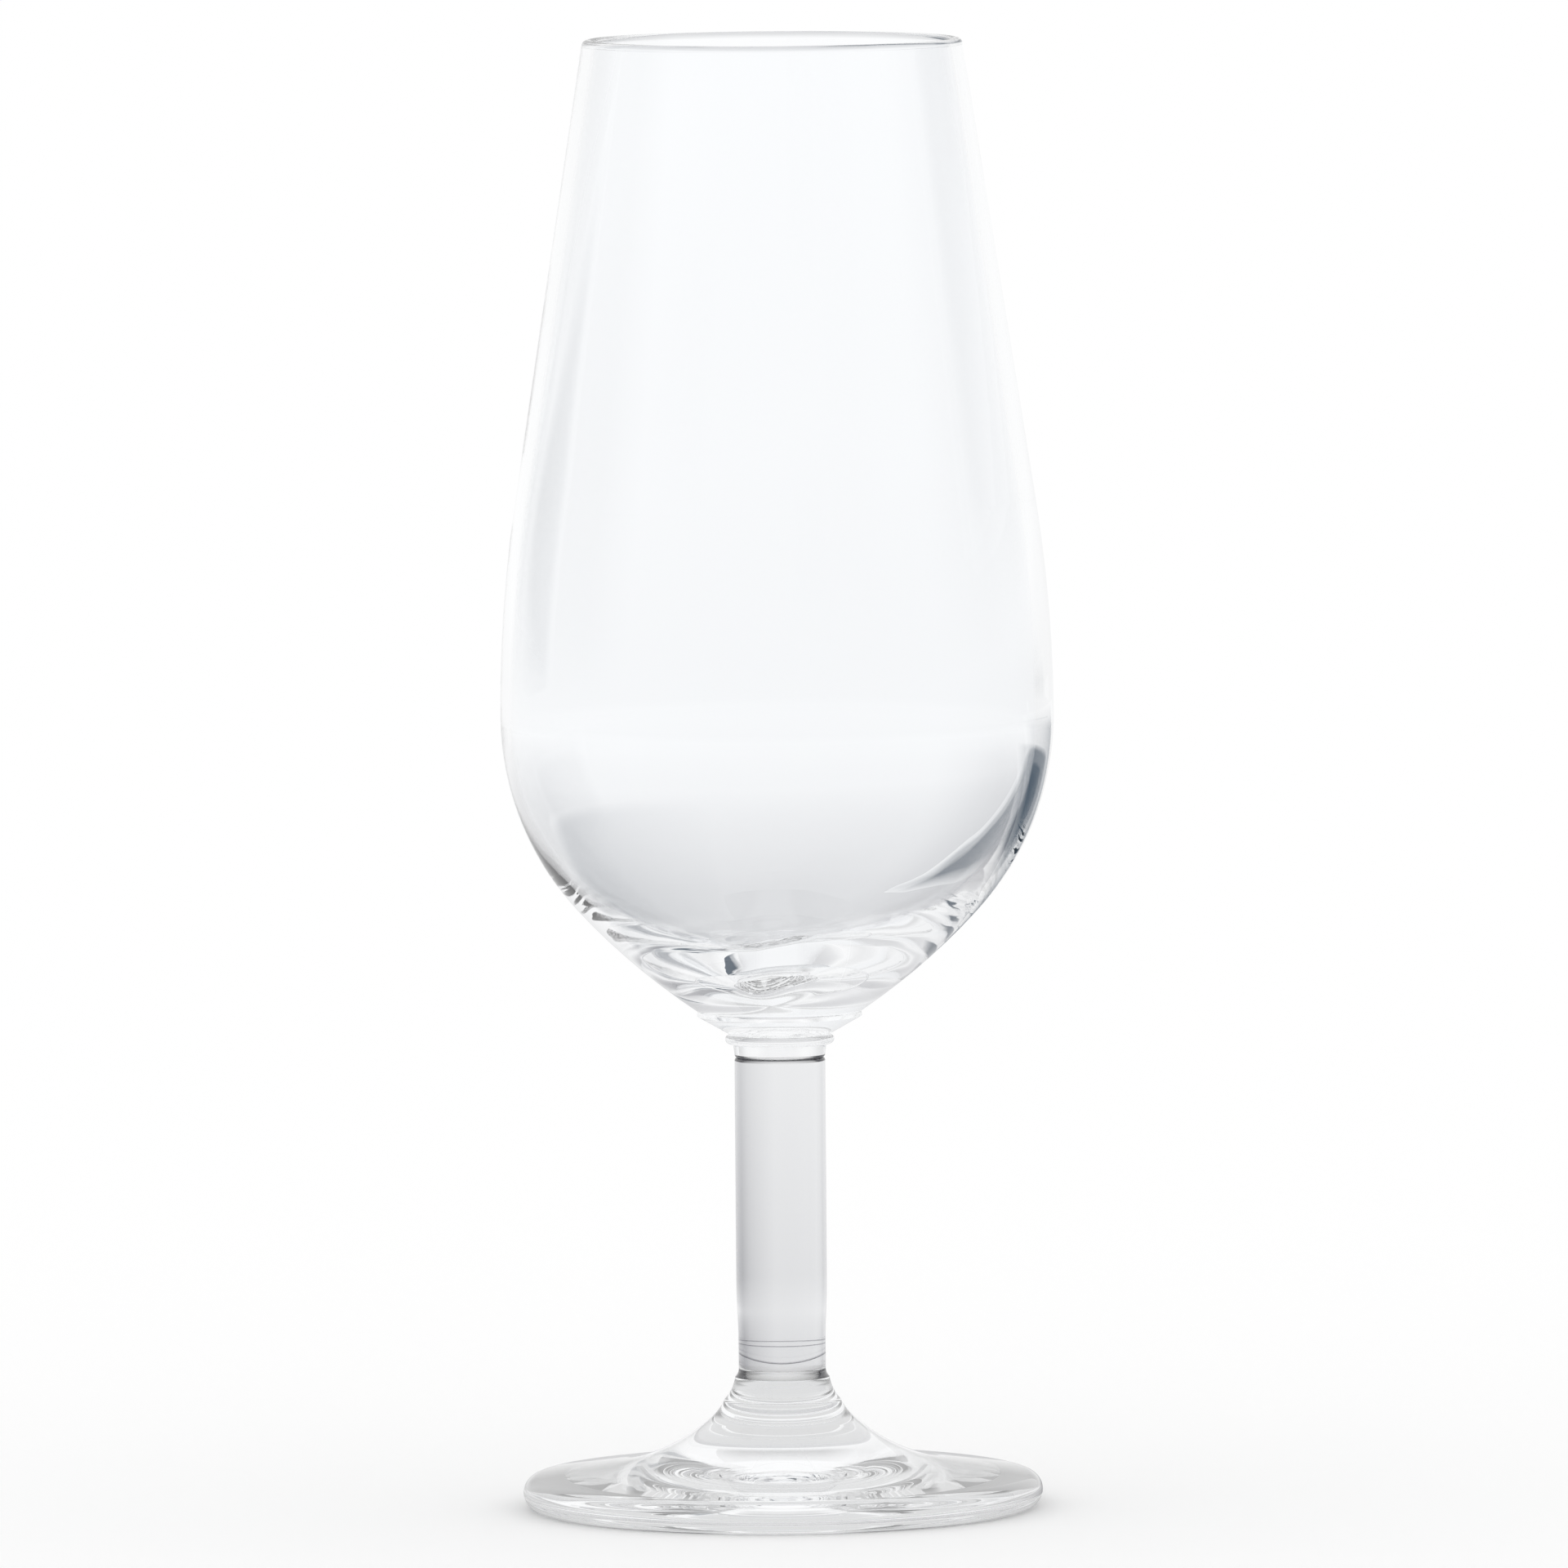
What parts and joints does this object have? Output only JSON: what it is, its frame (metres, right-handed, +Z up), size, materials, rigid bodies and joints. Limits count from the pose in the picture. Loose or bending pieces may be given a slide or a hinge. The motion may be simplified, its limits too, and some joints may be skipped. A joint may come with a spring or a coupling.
{
  "type": "sherry glass",
  "caption": "Stemmed sherry glass with a narrow tulip bowl, thick base, stepped collar, plain stem and round foot, in clear glass.",
  "frame": {"origin": "middle of the foot's contact ring, on the surface the glass stands on", "axes": "+Z up along the glass's turning axis, from foot to rim; X and Y are alike, because the glass is round"},
  "size_m": [0.0526, 0.0526, 0.14],
  "materials": {
    "clear_glass": "clear, fire-polished soda-lime glass"
  },
  "bodies": {
    "root": {"foot": "clear_glass", "stem": "clear_glass", "collar": "clear_glass", "bowl": "clear_glass"}
  },
  "joints": []
}
